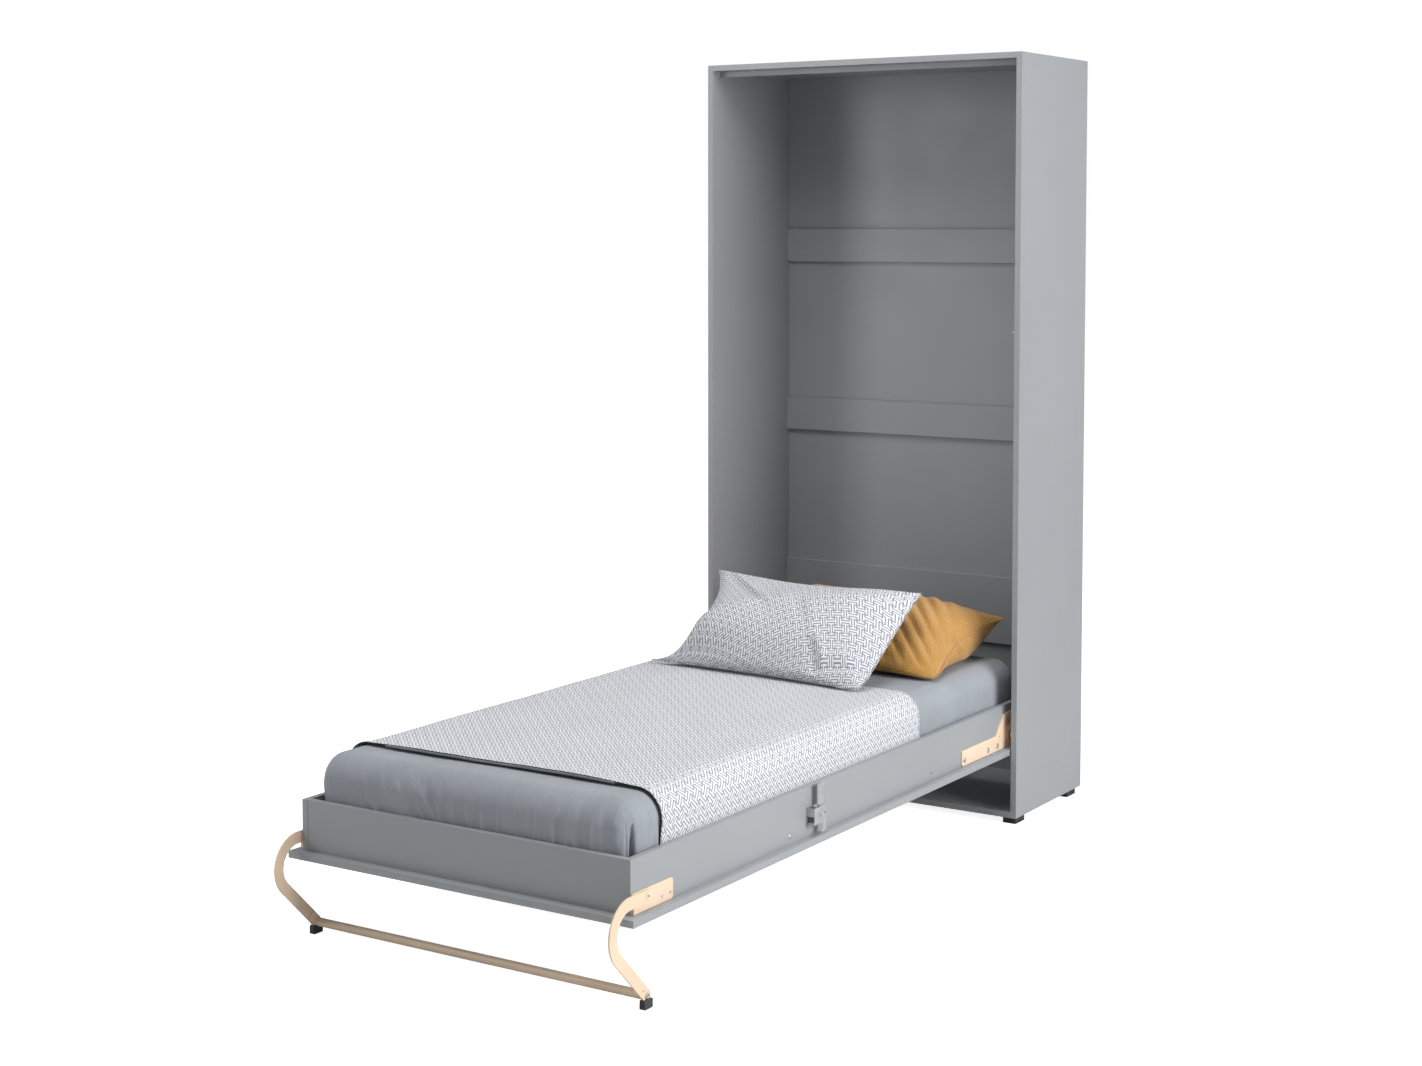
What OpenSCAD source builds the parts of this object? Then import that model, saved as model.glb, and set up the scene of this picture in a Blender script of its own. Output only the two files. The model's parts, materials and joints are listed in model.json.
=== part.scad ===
// Vertical wall bed: a cabinet that holds a single bed, which folds down on two side pivots
// and stands on a folding leg frame. Modelled open, with the leg frame down.
// X runs across the cabinet, Y from the foot of the bed to the wall, Z up from the floor.

/* [Cabinet] */
// Overall width of the cabinet
cab_w = 1050; // [1030:1:1200]
// Overall depth of the cabinet
cab_d = 462; // [455:1:500]
// Overall height of the cabinet, feet included
cab_h = 2204; // [2195:1:2240]
// Thickness of the cabinet boards
board_t = 17; // [16:1:18]
// Height of the feet
foot_h = 18; // [15:1:20]
// Height of the two back rails
rail_band = 104; // [80:1:120]
// Top edge of the upper back rail
upper_band_z = 1705; // [1500:1:1900]
// Top edge of the middle back rail
middle_band_z = 1161; // [1000:1:1300]
// Top edge of the lower back board
lower_board_z = 634; // [600:1:700]
// Height of the lower back board
lower_board_h = 207; // [150:1:230]

/* [Bed] */
// How far the door board reaches in front of the cabinet when open
bed_reach = 1887; // [1880:1:1890]
// Underside of the door board above the floor when open
board_z = 200; // [198:1:202]
// Thickness of the door board
door_t = 17; // [16:1:18]
// Outside width over the two bed rails
bed_w = 960; // [950:1:964]
// Height of the bed rails above the door board
rail_h = 124; // [110:1:130]
// Thickness of the bed rails
rail_t = 16; // [15:1:18]
// Number of slats
slat_count = 14; // [10:1:18]

/* [Leg frame] */
// Width of the flat leg arms
arm_w = 29; // [26:1:30]
// Thickness of the flat leg arms
arm_t = 4; // [3:0.5:4]
// Centre-line radius of the bend in each arm
bend_r = 66; // [64:1:68]
// Straight length from the leg pivot to the bend
arm_root = 67; // [65:1:70]
// Angle that the leg frame swings when the bed closes
leg_swing = 190; // [188:1:190]

/* [Soft goods] */
// Thickness of the mattress
mattress_t = 200; // [160:5:200]
// Length of the mattress
mattress_l = 2000; // [1980:5:2000]
// Width of the mattress
mattress_w = 914; // [880:1:916]

/* [Hidden] */
$fn = 48;
eps = 0.01;

// colours
body_grey = "#A9AEB1";
cream = "#EFDCC6";
dark = "#35373A";
zinc = "#C9CCCB";
pale_wood = "#D8BE95";

// cabinet
half_w = cab_w / 2;
inner_w = half_w - board_t;
back_t = 3;
floor_z = foot_h + board_t;
roof_z = cab_h - board_t;
side_d = cab_d - back_t;
band_t = 12;
band_y = side_d - band_t;
strip_y = 42;
strip_t = 16;
strip_h = 17;
plate_t = 2.5;
plate_x = inner_w - plate_t;

// bed folding: the closed door is flush with the cabinet front and 3 mm under the top panel
top_gap = 3;
closed_top = roof_z - top_gap;
fold_z = (closed_top - bed_reach + board_z) / 2;
fold_y = fold_z - board_z;
door_half = inner_w - 3.5;
door_head_y = fold_y + 205.5;
deck_z = board_z + door_t;
rail_top = deck_z + rail_h;
rail_x = bed_w / 2;
rail_in = rail_x - rail_t;
rail_foot_y = -bed_reach + 24;
rail_head_y = fold_y + 181;

// slats and mattress
ledger_w = 18;
slat_t = 12;
slat_w = 70;
mattress_z = 254;
slat_z = mattress_z - slat_t;
mattress_foot_y = rail_foot_y + 20;
mattress_head_y = mattress_foot_y + mattress_l;
mattress_top = mattress_z + mattress_t;
coverlet_t = 3;
coverlet_gap = 0.3;
coverlet_foot_y = -1717;
coverlet_head_y = -455;

// leg frame
leg_y = -bed_reach + 81;
leg_z = board_z + 49;
bend_y = leg_y - arm_root;
bend_z = leg_z - bend_r;
arm_end_z = 28;
arm_end_y = bend_y + bend_z - bend_r * sqrt(2) - arm_end_z;
leg_plate_t = 3;
leg_plate_y = rail_foot_y + 2;
arm_x = rail_x + leg_plate_t + 1.2;
cap_h = 21;
cap_l = 32;
cap_w = 14;
crossbar_r = 10.5;
tab_t = 3;
tab_r = 12.5;
tab_run = 20;

// hinge plates, strut and latch
hinge_t = 4;
pin_r = 7;
bush_r = 9.5;
run_gap = 0.05;
strut_x = 496.5;
strut_r = 7.5;
stud_y = 150;
stud_z = 246;
mount_y = 180;
mount_z = 480;
strut_l = norm([stud_y - mount_y, stud_z - mount_z]);
strut_a = atan2(stud_z - mount_z, stud_y - mount_y);
rod_r = 4;
latch_y = -1108;
latch_z = 241;
latch_h = 49;
latch_d = 56;
latch_out = 23;
lever_y = latch_y + 34;
lever_z = latch_z + 27;
tongue_z = 246;

// the part's frame has its origin in the middle of the whole part's plan
leg_reach = -(bend_y - bend_r - arm_w / 2);
front_y = (leg_reach - cab_d) / 2;

// places of screws and studs on each side, as [y, z, radius]
HINGE_BOLTS = [[-247, 234, 7], [-100, 232, 8], [-39, 232, 8], [28, 294, 14]];
HINGE_HOLES = [[-26, 257, 2.5], [-3, 232, 2.5], [-257, 234, 3]];
LEG_SCREWS = [[-1745, 232, 4], [-1712, 233, 4]];
PLATE_SCREWS = [[fold_y - 22, fold_z + 50], [fold_y + 22, fold_z + 50], [fold_y, fold_z - 34]];
BRACKET_SCREWS = [[mount_y, mount_z + 24], [mount_y, mount_z - 24]];

module placed() { translate([0, front_y, 0]) children(); }

module on_side(s) {
    if (s < 0) mirror([1, 0, 0]) children();
    else children();
}

module block(x0, x1, y0, y1, z0, z1) {
    translate([x0, y0, z0]) cube([x1 - x0, y1 - y0, z1 - z0]);
}

// a rod along X
module x_rod(x0, x1, y, z, r) {
    translate([x0, y, z]) rotate([0, 90, 0]) cylinder(h = x1 - x0, r = r);
}

// a flat outline in Y and Z, thickened along X
module yz_plate(x0, t) {
    translate([x0, 0, 0]) rotate([90, 0, 90]) linear_extrude(t) children();
}

// an outline in X and Z, drawn out along Y
module xz_bar(y0, y1) {
    translate([0, y1, 0]) rotate([90, 0, 0]) linear_extrude(y1 - y0) children();
}

// a rectangle with four round corners
module soft_rect(x0, x1, y0, y1, r) {
    translate([x0 + r, y0]) square([x1 - x0 - 2 * r, y1 - y0]);
    translate([x0, y0 + r]) square([x1 - x0, y1 - y0 - 2 * r]);
    for (x = [x0 + r, x1 - r], y = [y0 + r, y1 - r]) translate([x, y]) circle(r);
}

// ---------------------------------------------------------------- cabinet

module side_panel(s) {
    color(body_grey) placed() on_side(s) difference() {
        block(inner_w, half_w, 0, side_d, foot_h, roof_z);
        side_dowels(15);
        for (p = concat(PLATE_SCREWS, BRACKET_SCREWS))
            x_rod(inner_w - 1, inner_w + 12, p[0], p[1], 1.8);
    }
}

module side_panel_left() { side_panel(-1); }

module side_panel_right() { side_panel(1); }

module top_panel() {
    color(body_grey) placed() difference() {
        block(-half_w, half_w, 0, side_d, roof_z, cab_h);
        for (s = [-1, 1]) on_side(s) side_dowels(15);
    }
}

// dowels that stand in the side panels' ends and reach into the top and the bottom panel
module side_dowels(reach) {
    for (y = [60, 230, 400]) {
        translate([inner_w + board_t / 2, y, roof_z - reach]) cylinder(h = reach + 9, r = 4);
        x_rod(inner_w - 20, inner_w + 10, y, foot_h + board_t / 2, 4);
    }
}

module cabinet_dowels() {
    color(pale_wood) placed() for (s = [-1, 1]) on_side(s) side_dowels(15);
}

module bottom_panel() {
    color(body_grey) placed() difference() {
        block(-inner_w, inner_w, 0, side_d, foot_h, floor_z);
        for (s = [-1, 1]) on_side(s) side_dowels(15);
    }
}

module back_panel() {
    color(body_grey) placed()
        block(-half_w + 1, half_w - 1, side_d, cab_d, foot_h + 1, cab_h - 1);
}

module stop_strip() {
    color(body_grey) placed()
        block(-inner_w, inner_w, strip_y, strip_y + strip_t, roof_z - strip_h, roof_z);
}

// the two back rails take the wall screws, which are driven on site
module back_rail(top_z) {
    color(body_grey) placed()
        block(-inner_w, inner_w, band_y, side_d, top_z - rail_band, top_z);
}

module upper_back_rail() { back_rail(upper_band_z); }

module middle_back_rail() { back_rail(middle_band_z); }

module lower_back_board() {
    color(body_grey) placed()
        block(-inner_w, inner_w, band_y, side_d, lower_board_z - lower_board_h, lower_board_z);
}

module cabinet_feet() {
    color(dark) placed() for (s = [-1, 1], y = [9, 370]) on_side(s)
        translate([0, y, 0]) linear_extrude(foot_h) soft_rect(479, 521, 0, 61, 4);
}

// a plate screwed to the side panel, with the fold pin that carries the bed
module pivot_plate(s) {
    color(cream) placed() on_side(s) difference() {
        union() {
            yz_plate(plate_x, plate_t) soft_rect(fold_y - 38, fold_y + 38, fold_z - 46, fold_z + 66, 12);
            x_rod(rail_x + 6, plate_x, fold_y, fold_z, 11);
            x_rod(rail_x - 8, plate_x, fold_y, fold_z, pin_r);
            x_rod(rail_x - 7.5, rail_x - 5.5, fold_y, fold_z, 10);
        }
        for (p = PLATE_SCREWS) x_rod(plate_x - 1, inner_w + 1, p[0], p[1], 2.6);
    }
}

module pivot_plate_left() { pivot_plate(-1); }

module pivot_plate_right() { pivot_plate(1); }

// a plate with the stud on which the gas strut's cylinder turns
module strut_bracket(s) {
    color(zinc) placed() on_side(s) difference() {
        union() {
            yz_plate(plate_x, plate_t) soft_rect(mount_y - 18, mount_y + 18, mount_z - 36, mount_z + 36, 8);
            x_rod(strut_x - 8.5, plate_x, mount_y, mount_z, 5);
        }
        for (p = BRACKET_SCREWS) x_rod(plate_x - 1, inner_w + 1, p[0], p[1], 2.6);
    }
}

module strut_bracket_left() { strut_bracket(-1); }

module strut_bracket_right() { strut_bracket(1); }

// countersunk screws, flush with the plates on the side panels
module cabinet_screws() {
    color(zinc) placed() for (s = [-1, 1], p = concat(PLATE_SCREWS, BRACKET_SCREWS)) on_side(s) {
        x_rod(plate_x + 0.2, inner_w, p[0], p[1], 2.6);
        x_rod(inner_w - eps, inner_w + 12, p[0], p[1], 1.8);
    }
}

// the striker pin stands where the tongue passes when the door is shut
striker_y = latch_z + 2.5 + 2 - board_z;
striker_z = closed_top - bed_reach - (latch_y - 6);

module latch_striker() {
    color(zinc) placed() {
        yz_plate(plate_x, plate_t)
            soft_rect(striker_y - 22, striker_y + 22, striker_z - 30, striker_z + 30, 8);
        x_rod(rail_x + 4, plate_x, striker_y - 6, striker_z, 4);
    }
}

// -------------------------------------------------------------------- bed

module door_board() {
    color(body_grey) placed() difference() {
        block(-door_half, door_half, -bed_reach, door_head_y, board_z, deck_z);
        frame_dowels();
    }
}

// dowels that hold the bed frame on the door board and the cross boards between the rails
module frame_dowels() {
    for (s = [-1, 1]) on_side(s) {
        for (y = [-1780, -1320, -860, -400, 60])
            translate([rail_x - rail_t / 2, y, deck_z - 9]) cylinder(h = 24, r = 4);
        for (y = [rail_foot_y + 9, mattress_head_y + 10], z = [deck_z + 32, rail_top - 32])
            x_rod(rail_in - 24, rail_in + 9, y, z, 4);
    }
}

module bed_dowels() {
    color(pale_wood) placed() frame_dowels();
}

module bed_rail(s) {
    color(body_grey) placed() difference() {
        on_side(s) block(rail_in, rail_x, rail_foot_y, rail_head_y, deck_z, rail_top);
        on_side(s) x_rod(rail_x - 9, rail_x + 1, fold_y, fold_z, 12);
        on_side(s) bolt_shanks();
        frame_dowels();
    }
}

// the drillings in a bed rail for bolts, screws and studs
module bolt_shanks() {
    for (p = HINGE_BOLTS) x_rod(rail_x - 12, rail_x + hinge_t, p[0], p[1], 3);
    for (p = LEG_SCREWS) x_rod(rail_x - 12, rail_x + 1, p[0], p[1], 2);
    x_rod(rail_x - 12, rail_x + 1, leg_y, leg_z, 6);
    x_rod(rail_x - 12, rail_x + 1, stud_y, stud_z, 3);
    x_rod(rail_x - 10, rail_x + 1, -1187, 237, 2.5);
    x_rod(rail_x - 10, rail_x + 1, -442, 237, 3);
}

module bed_rail_left() { bed_rail(-1); }

module bed_rail_right() { bed_rail(1); }

module footboard() {
    color(body_grey) placed() difference() {
        block(-rail_in, rail_in, rail_foot_y + 1, rail_foot_y + 17, deck_z, rail_top);
        frame_dowels();
    }
}

module headboard_rail() {
    color(body_grey) placed() difference() {
        block(-rail_in, rail_in, mattress_head_y + 2, mattress_head_y + 18, deck_z, rail_top);
        frame_dowels();
    }
}

module slat_ledgers() {
    color(pale_wood) placed() for (s = [-1, 1]) on_side(s)
        block(rail_in - ledger_w, rail_in, rail_foot_y + 17, mattress_head_y + 2, deck_z, slat_z);
}

module slats() {
    pitch = (mattress_l - 140) / (slat_count - 1);
    color(pale_wood) placed() for (i = [0 : slat_count - 1])
        translate([0, mattress_foot_y + 35 + i * pitch, 0])
            block(-rail_in + 1, rail_in - 1, 0, slat_w, slat_z, mattress_z);
}

// points along a rounded corner
function ring(y, z, r, a0, a1) = [
    for (i = [0 : 6]) [y + r * cos(a0 + (a1 - a0) * i / 6), z + r * sin(a0 + (a1 - a0) * i / 6)]
];

// the outline of a hinge plate: a strip along the rail and a broad ear over the pivot
module hinge_outline() {
    polygon(concat(
        ring(-257, 225, 7, 270, 180),
        ring(-259, 257, 5, 180, 90),
        [[-48, 262]],
        ring(10, 304, 13, 150, 90),
        ring(62, 304, 13, 90, 0),
        [[75, 264]],
        ring(162, 256, 8, 90, 0),
        ring(162, 226, 8, 0, -90)
    ));
}

module hinge_plate(s) {
    color(cream) placed() on_side(s) difference() {
        yz_plate(rail_x, hinge_t) hinge_outline();
        x_rod(rail_x - 1, rail_x + hinge_t + 1, fold_y, fold_z, bush_r);
        for (p = HINGE_BOLTS) x_rod(rail_x - 1, rail_x + hinge_t + 1, p[0], p[1], 3);
        for (p = HINGE_HOLES) x_rod(rail_x - 1, rail_x + hinge_t + 1, p[0], p[1], p[2]);
        x_rod(rail_x - 1, rail_x + hinge_t + 1, stud_y, stud_z, 3);
    }
}

module hinge_plate_left() { hinge_plate(-1); }

module hinge_plate_right() { hinge_plate(1); }

module pivot_bushes() {
    color(dark) placed() for (s = [-1, 1]) on_side(s) difference() {
        union() {
            x_rod(rail_x, rail_x + hinge_t, fold_y, fold_z, bush_r);
            x_rod(rail_x + hinge_t, rail_x + hinge_t + 1.5, fold_y, fold_z, 12.5);
        }
        x_rod(rail_x - 1, rail_x + hinge_t + 2, fold_y, fold_z, pin_r + run_gap);
    }
}

// a domed bolt head on a plain shank
module domed_bolt(y, z, r) {
    x_rod(rail_x - 12, rail_x + hinge_t, y, z, 3);
    translate([rail_x + hinge_t, y, z]) rotate([0, 90, 0]) intersection() {
        cylinder(h = r / 3.5, r = r);
        translate([0, 0, r / 3.5 - r * 2.1]) sphere(r * 2.1);
    }
}

module hinge_bolts() {
    color(zinc) placed() for (s = [-1, 1], p = HINGE_BOLTS) on_side(s) domed_bolt(p[0], p[1], p[2]);
}

module strut_studs() {
    color(zinc) placed() for (s = [-1, 1]) on_side(s) {
        x_rod(rail_x - 12, rail_x + hinge_t, stud_y, stud_z, 3);
        x_rod(rail_x + hinge_t, strut_x - strut_r - 0.6, stud_y, stud_z, 8);
    }
}

// a rounded plate on the rail, with a tab bent out in front that stops the open leg
module leg_plate(s) {
    color(cream) placed() on_side(s) difference() {
        union() {
            yz_plate(rail_x, leg_plate_t)
                soft_rect(leg_plate_y, leg_plate_y + 160, deck_z + 0.5, deck_z + 49, 8);
            block(rail_x, arm_x + arm_t, leg_plate_y, leg_plate_y + 3, deck_z + 4, leg_z - arm_w / 2 - 0.5);
        }
        x_rod(rail_x - 1, rail_x + 5, leg_y, leg_z, 6);
        for (p = LEG_SCREWS) x_rod(rail_x - 1, rail_x + 5, p[0], p[1], p[2]);
    }
}

module leg_plate_left() { leg_plate(-1); }

module leg_plate_right() { leg_plate(1); }

module leg_plate_screws() {
    color(zinc) placed() for (s = [-1, 1], p = LEG_SCREWS) on_side(s) {
        x_rod(rail_x - 12, rail_x, p[0], p[1], 2);
        difference() {
            x_rod(rail_x, rail_x + leg_plate_t, p[0], p[1], p[2]);
            x_rod(rail_x + leg_plate_t - 1.5, rail_x + 4, p[0], p[1], 1.3);
        }
    }
}

// leg pivots: a washer under the arm, a pin through it and a head with a hexagon socket
module leg_pivots() {
    color(cream) placed() for (s = [-1, 1]) on_side(s) difference() {
        union() {
            x_rod(rail_x - 12, arm_x + arm_t + 0.4, leg_y, leg_z, 6);
            x_rod(rail_x + leg_plate_t, arm_x - 0.2, leg_y, leg_z, 12);
            x_rod(arm_x + arm_t + 0.2, arm_x + arm_t + 1.6, leg_y, leg_z, 8);
        }
        translate([arm_x + 1, leg_y, leg_z]) rotate([0, 90, 0]) cylinder(h = 6, r = 3.5, $fn = 6);
    }
}

// round-headed screws low on the rails
module rail_screws() {
    color(zinc) placed() for (s = [-1, 1]) on_side(s) {
        x_rod(rail_x - 10, rail_x, -1187, 237, 2.5);
        translate([rail_x, -1187, 237]) rotate([0, 90, 0]) intersection() {
            cylinder(h = 2.6, r = 6);
            translate([0, 0, -7.4]) sphere(10);
        }
    }
}

// the latch housing: a folded box, open below its top plate towards the foot of the bed
module latch_housing() {
    y0 = latch_y;
    y1 = latch_y + latch_d;
    z1 = latch_z + latch_h;
    color(zinc) placed() difference() {
        union() {
            block(rail_x, rail_x + 1.5, y0, y1, latch_z, z1);
            block(rail_x + latch_out - 1.5, rail_x + latch_out, y0, y1, latch_z + 7, z1);
            block(rail_x + latch_out - 1.5, rail_x + latch_out, y1 - 22, y1, latch_z - 16, latch_z + 8);
            block(rail_x, rail_x + latch_out, y0, y0 + 1.5, latch_z + 27, z1);
            block(rail_x, rail_x + latch_out, y1 - 1.5, y1, latch_z, z1 - 12);
        }
        x_rod(rail_x - 1, rail_x + latch_out + 1, lever_y, lever_z, 3);
        x_rod(rail_x + latch_out - 2, rail_x + latch_out + 1, y1 - 6, latch_z + 31, 2.5);
    }
}

// the screw that carries the latch lever, through the housing
module latch_screw() {
    color(zinc) placed() difference() {
        union() {
            x_rod(rail_x, rail_x + latch_out, lever_y, lever_z, 3);
            x_rod(rail_x + latch_out, rail_x + latch_out + 2, lever_y, lever_z, 5.5);
        }
        translate([rail_x + latch_out, lever_y, lever_z]) rotate([0, 90, 0])
            cylinder(h = 3, r = 2.4, $fn = 6);
    }
}

// the tongue slides out towards the foot of the bed over the striker pin
module latch_tongue() {
    color(zinc) placed() {
        block(rail_x + 3, rail_x + 19, latch_y + 2, latch_y + 24, tongue_z, tongue_z + 7);
        block(rail_x + 3, rail_x + 6, latch_y + 12, latch_y + 24, tongue_z + 7, tongue_z + 12);
    }
}

// the release lever turns on the latch screw and stands up to the rail's top edge
module latch_lever() {
    color(zinc) placed() difference() {
        yz_plate(rail_x + 14, 2) {
            translate([lever_y - 8, latch_z + 51]) square([30, 52]);
            translate([lever_y - 5.5, lever_z]) square([11, 25]);
            translate([lever_y, lever_z]) circle(7);
        }
        x_rod(rail_x + 13, rail_x + 17, lever_y, lever_z, 3 + run_gap);
    }
}

// ------------------------------------------------------------- soft goods

// the mattress outline across the bed
module mattress_section(grow) {
    w = mattress_w / 2 + grow;
    soft_rect(-w, w, mattress_z - grow, mattress_top + grow, 60 + grow);
}

module mattress() {
    color("#8C919C") placed() intersection() {
        xz_bar(mattress_foot_y, mattress_head_y) mattress_section(0);
        translate([0, 0, mattress_z]) linear_extrude(mattress_t)
            soft_rect(-mattress_w / 2, mattress_w / 2, mattress_foot_y, mattress_head_y, 70);
        yz_plate(-mattress_w / 2, mattress_w)
            soft_rect(mattress_foot_y, mattress_head_y, mattress_z, mattress_top, 60);
    }
}

// a thin cover over the middle of the mattress, hanging down inside the rails
module coverlet() {
    color("#D5D6DA") placed() intersection() {
        xz_bar(coverlet_foot_y, coverlet_head_y) difference() {
            mattress_section(coverlet_gap + coverlet_t);
            mattress_section(coverlet_gap);
        }
        block(-rail_in, rail_in, coverlet_foot_y, coverlet_head_y, 320, mattress_top + 10);
    }
}

// a pillow: a long bulge across the bed that thins towards its four corners
module pillow(cx, half_l, foot, head, bulge, edge_r, bulge_r) {
    translate([cx, 0, 0]) hull() {
        for (x = [-half_l + edge_r, half_l - edge_r]) {
            translate([x, foot[0], foot[1]]) sphere(edge_r, $fn = 20);
            translate([x, head[0], head[1]]) sphere(edge_r, $fn = 20);
            translate([x * 0.55, bulge[0], bulge[1]]) sphere(bulge_r, $fn = 32);
        }
    }
}

pillow_floor = mattress_top + coverlet_gap + coverlet_t + 0.4;

module pillow_patterned() {
    color("#E4E5E8") placed()
        pillow(-25, 350, [-528, pillow_floor + 14], [-190, 622], [-345, 560], 14, 56);
}

module pillow_ochre() {
    color("#D9A045") placed()
        pillow(75, 350, [-262, pillow_floor + 13], [118, 560], [-62, 535], 12, 62);
}

// -------------------------------------------------------------- leg frame

// the flat outline of an arm: root, bend, slope and a rounded end with a short stub into the foot cap
module arm_outline() {
    translate([leg_y, leg_z]) circle(arm_w / 2);
    translate([bend_y, leg_z - arm_w / 2]) square([arm_root, arm_w]);
    intersection() {
        translate([bend_y, bend_z]) difference() {
            circle(bend_r + arm_w / 2);
            circle(bend_r - arm_w / 2);
        }
        translate([bend_y, bend_z]) polygon([
            [0, 0], [0, 2 * bend_r], [-2 * bend_r, 2 * bend_r], [-2 * bend_r, -2 * bend_r]
        ]);
    }
    slope_y = bend_y - bend_r / sqrt(2);
    slope_z = bend_z - bend_r / sqrt(2);
    translate([slope_y, slope_z]) rotate(-45) translate([0, -arm_w / 2])
        square([norm([arm_end_y - slope_y, arm_end_z - slope_z]), arm_w]);
    translate([arm_end_y, arm_end_z]) circle(arm_w / 2);
    translate([arm_end_y - 9, 6]) square([20, arm_end_z - 6]);
}

module leg_arm(s) {
    color(cream) placed() on_side(s) difference() {
        yz_plate(arm_x, arm_t) arm_outline();
        x_rod(arm_x - 1, arm_x + arm_t + 1, leg_y, leg_z, 6 + run_gap);
        x_rod(arm_x - 1, arm_x + arm_t + 1, arm_end_y, arm_end_z, 4);
        x_rod(arm_x - 1, arm_x + arm_t + 1, arm_end_y - 14, arm_end_z + 14, 2);
    }
}

module leg_arm_left() { leg_arm(-1); }

module leg_arm_right() { leg_arm(1); }

// the outline of the flat tab at each end of the crossbar, which lies along the arm
module tab_outline() {
    translate([arm_end_y, arm_end_z]) {
        circle(tab_r);
        rotate(135) translate([0, -tab_r + 0.5]) square([tab_run, 2 * tab_r - 1]);
        rotate(135) translate([tab_run, 0]) circle(tab_r);
    }
}

// a round tube between the arms, closed by a threaded plug and a flat tab at each end
module leg_crossbar() {
    color(cream) placed() difference() {
        union() {
            x_rod(-arm_x + 1, arm_x - 1, arm_end_y, arm_end_z, crossbar_r);
            for (s = [-1, 1]) on_side(s) yz_plate(arm_x - tab_t, tab_t) tab_outline();
        }
        x_rod(-arm_x + 20, arm_x - 20, arm_end_y, arm_end_z, crossbar_r - 1.5);
        for (s = [-1, 1]) on_side(s) x_rod(arm_x - 16, arm_x + 1, arm_end_y, arm_end_z, 4);
    }
}

module crossbar_bolts() {
    color(zinc) placed() for (s = [-1, 1]) on_side(s) difference() {
        union() {
            x_rod(arm_x - 16, arm_x + arm_t, arm_end_y, arm_end_z, 4);
            x_rod(arm_x + arm_t, arm_x + arm_t + 3, arm_end_y, arm_end_z, 7);
        }
        translate([arm_x + arm_t + 1, arm_end_y, arm_end_z]) rotate([0, 90, 0])
            cylinder(h = 3, r = 2.9, $fn = 6);
    }
}

module foot_cap(s) {
    color(dark) placed() on_side(s) difference() {
        translate([arm_x + arm_t / 2 - cap_w / 2, 0, 0]) yz_plate(0, cap_w)
            soft_rect(arm_end_y - 1 - cap_l / 2, arm_end_y - 1 + cap_l / 2, 0, cap_h, 3);
        yz_plate(arm_x, arm_t) arm_outline();
        yz_plate(arm_x - tab_t, tab_t) tab_outline();
        x_rod(arm_x - 8, arm_x - 1, arm_end_y, arm_end_z, crossbar_r);
    }
}

module foot_cap_left() { foot_cap(-1); }

module foot_cap_right() { foot_cap(1); }

// -------------------------------------------------------------- gas struts

// everything on a strut is drawn along its own axis, from the mount towards the stud
module along_strut(s) {
    placed() on_side(s) translate([strut_x, mount_y, mount_z]) rotate([strut_a, 0, 0]) rotate([-90, 0, 0])
        children();
}

module gas_cylinder(s) {
    color(dark) along_strut(s) difference() {
        union() {
            rotate([0, 90, 0]) translate([0, 0, -7]) cylinder(h = 14, r = 10);
            translate([0, 0, 8]) cylinder(h = 10, r = 5);
            translate([0, 0, 17]) cylinder(h = strut_l - 48, r = strut_r);
        }
        rotate([0, 90, 0]) translate([0, 0, -10]) cylinder(h = 20, r = 5 + run_gap);
        translate([0, 0, 34]) cylinder(h = strut_l, r = rod_r + run_gap);
    }
}

module gas_cylinder_left() { gas_cylinder(-1); }

module gas_cylinder_right() { gas_cylinder(1); }

// the rod, with an end fitting that faces the stud on the hinge plate
module gas_rod(s) {
    color(zinc) along_strut(s) {
        translate([0, 0, 36]) cylinder(h = strut_l - 42, r = rod_r);
        translate([0, 0, strut_l]) rotate([0, 90, 0]) translate([0, 0, -7]) cylinder(h = 14, r = 8);
    }
}

module gas_rod_left() { gas_rod(-1); }

module gas_rod_right() { gas_rod(1); }

side_panel_left();
side_panel_right();
top_panel();
bottom_panel();
back_panel();
stop_strip();
upper_back_rail();
middle_back_rail();
lower_back_board();
cabinet_feet();
cabinet_dowels();
pivot_plate_left();
pivot_plate_right();
strut_bracket_left();
strut_bracket_right();
cabinet_screws();
latch_striker();
door_board();
bed_rail_left();
bed_rail_right();
footboard();
headboard_rail();
slat_ledgers();
slats();
bed_dowels();
hinge_plate_left();
hinge_plate_right();
pivot_bushes();
hinge_bolts();
strut_studs();
leg_plate_left();
leg_plate_right();
leg_plate_screws();
leg_pivots();
rail_screws();
latch_housing();
latch_screw();
mattress();
coverlet();
pillow_patterned();
pillow_ochre();
leg_arm_left();
leg_arm_right();
leg_crossbar();
crossbar_bolts();
foot_cap_left();
foot_cap_right();
gas_cylinder_left();
gas_cylinder_right();
gas_rod_left();
gas_rod_right();
latch_tongue();
latch_lever();
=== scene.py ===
import json
import math

import bpy
import numpy as np
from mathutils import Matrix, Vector, noise


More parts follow.
